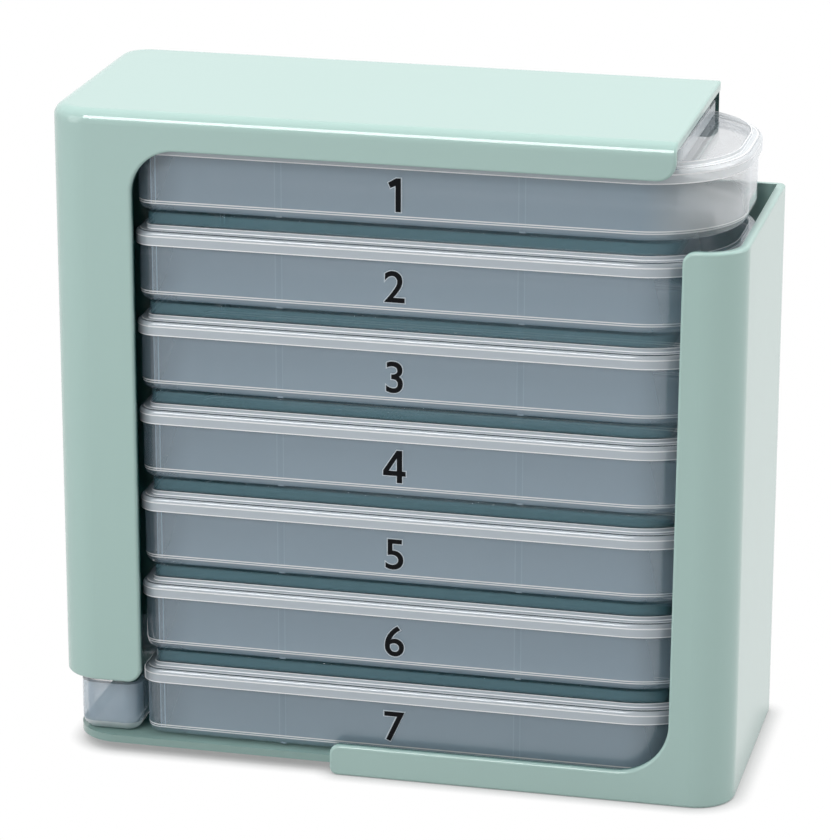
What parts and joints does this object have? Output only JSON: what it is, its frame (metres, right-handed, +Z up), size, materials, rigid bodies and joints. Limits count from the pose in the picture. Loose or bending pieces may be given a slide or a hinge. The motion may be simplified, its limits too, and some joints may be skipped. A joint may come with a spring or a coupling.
{
  "type": "weekly pill box",
  "caption": "Open-fronted upright case holding a stack of flat lidded day boxes with compartments; the top box slides out sideways over the low right wall.",
  "frame": {"origin": "on the surface the case stands on, under the middle of the case", "axes": "+X to the right along the front, towards the exit; +Y away from the front; +Z up"},
  "size_m": [0.168, 0.0676, 0.164],
  "materials": {
    "case_plastic": "glossy moulded mint plastic",
    "clear_plastic": "frosted clear moulded plastic"
  },
  "bodies": {
    "holder": {"case": "case_plastic"},
    "stop": {"end_stop": "clear_plastic"},
    "box_1": {"tray_1": "clear_plastic", "lid_1": "clear_plastic"},
    "box_2": {"tray_2": "clear_plastic", "lid_2": "clear_plastic"},
    "box_3": {"tray_3": "clear_plastic", "lid_3": "clear_plastic"},
    "box_4": {"tray_4": "clear_plastic", "lid_4": "clear_plastic"},
    "box_5": {"tray_5": "clear_plastic", "lid_5": "clear_plastic"},
    "box_6": {"tray_6": "clear_plastic", "lid_6": "clear_plastic"},
    "box_7": {"tray_7": "clear_plastic", "lid_7": "clear_plastic"}
  },
  "joints": [
    {"name": "stop_slide", "type": "slide", "parent": "holder", "child": "stop", "axis": [1, 0, 0], "range_m": [-0.02, 0]},
    {"name": "box_1_slide", "type": "slide", "parent": "holder", "child": "box_1", "axis": [1, 0, 0], "range_m": [-0.017, 0.15]},
    {"name": "box_2_slide", "type": "slide", "parent": "holder", "child": "box_2", "axis": [1, 0, 0], "range_m": [-0.017, 0]},
    {"name": "box_3_slide", "type": "slide", "parent": "holder", "child": "box_3", "axis": [1, 0, 0], "range_m": [-0.017, 0]},
    {"name": "box_4_slide", "type": "slide", "parent": "holder", "child": "box_4", "axis": [1, 0, 0], "range_m": [-0.017, 0]},
    {"name": "box_5_slide", "type": "slide", "parent": "holder", "child": "box_5", "axis": [1, 0, 0], "range_m": [-0.017, 0]},
    {"name": "box_6_slide", "type": "slide", "parent": "holder", "child": "box_6", "axis": [1, 0, 0], "range_m": [-0.017, 0]},
    {"name": "box_7_slide", "type": "slide", "parent": "holder", "child": "box_7", "axis": [1, 0, 0], "range_m": [-0.0012, 0]}
  ]
}
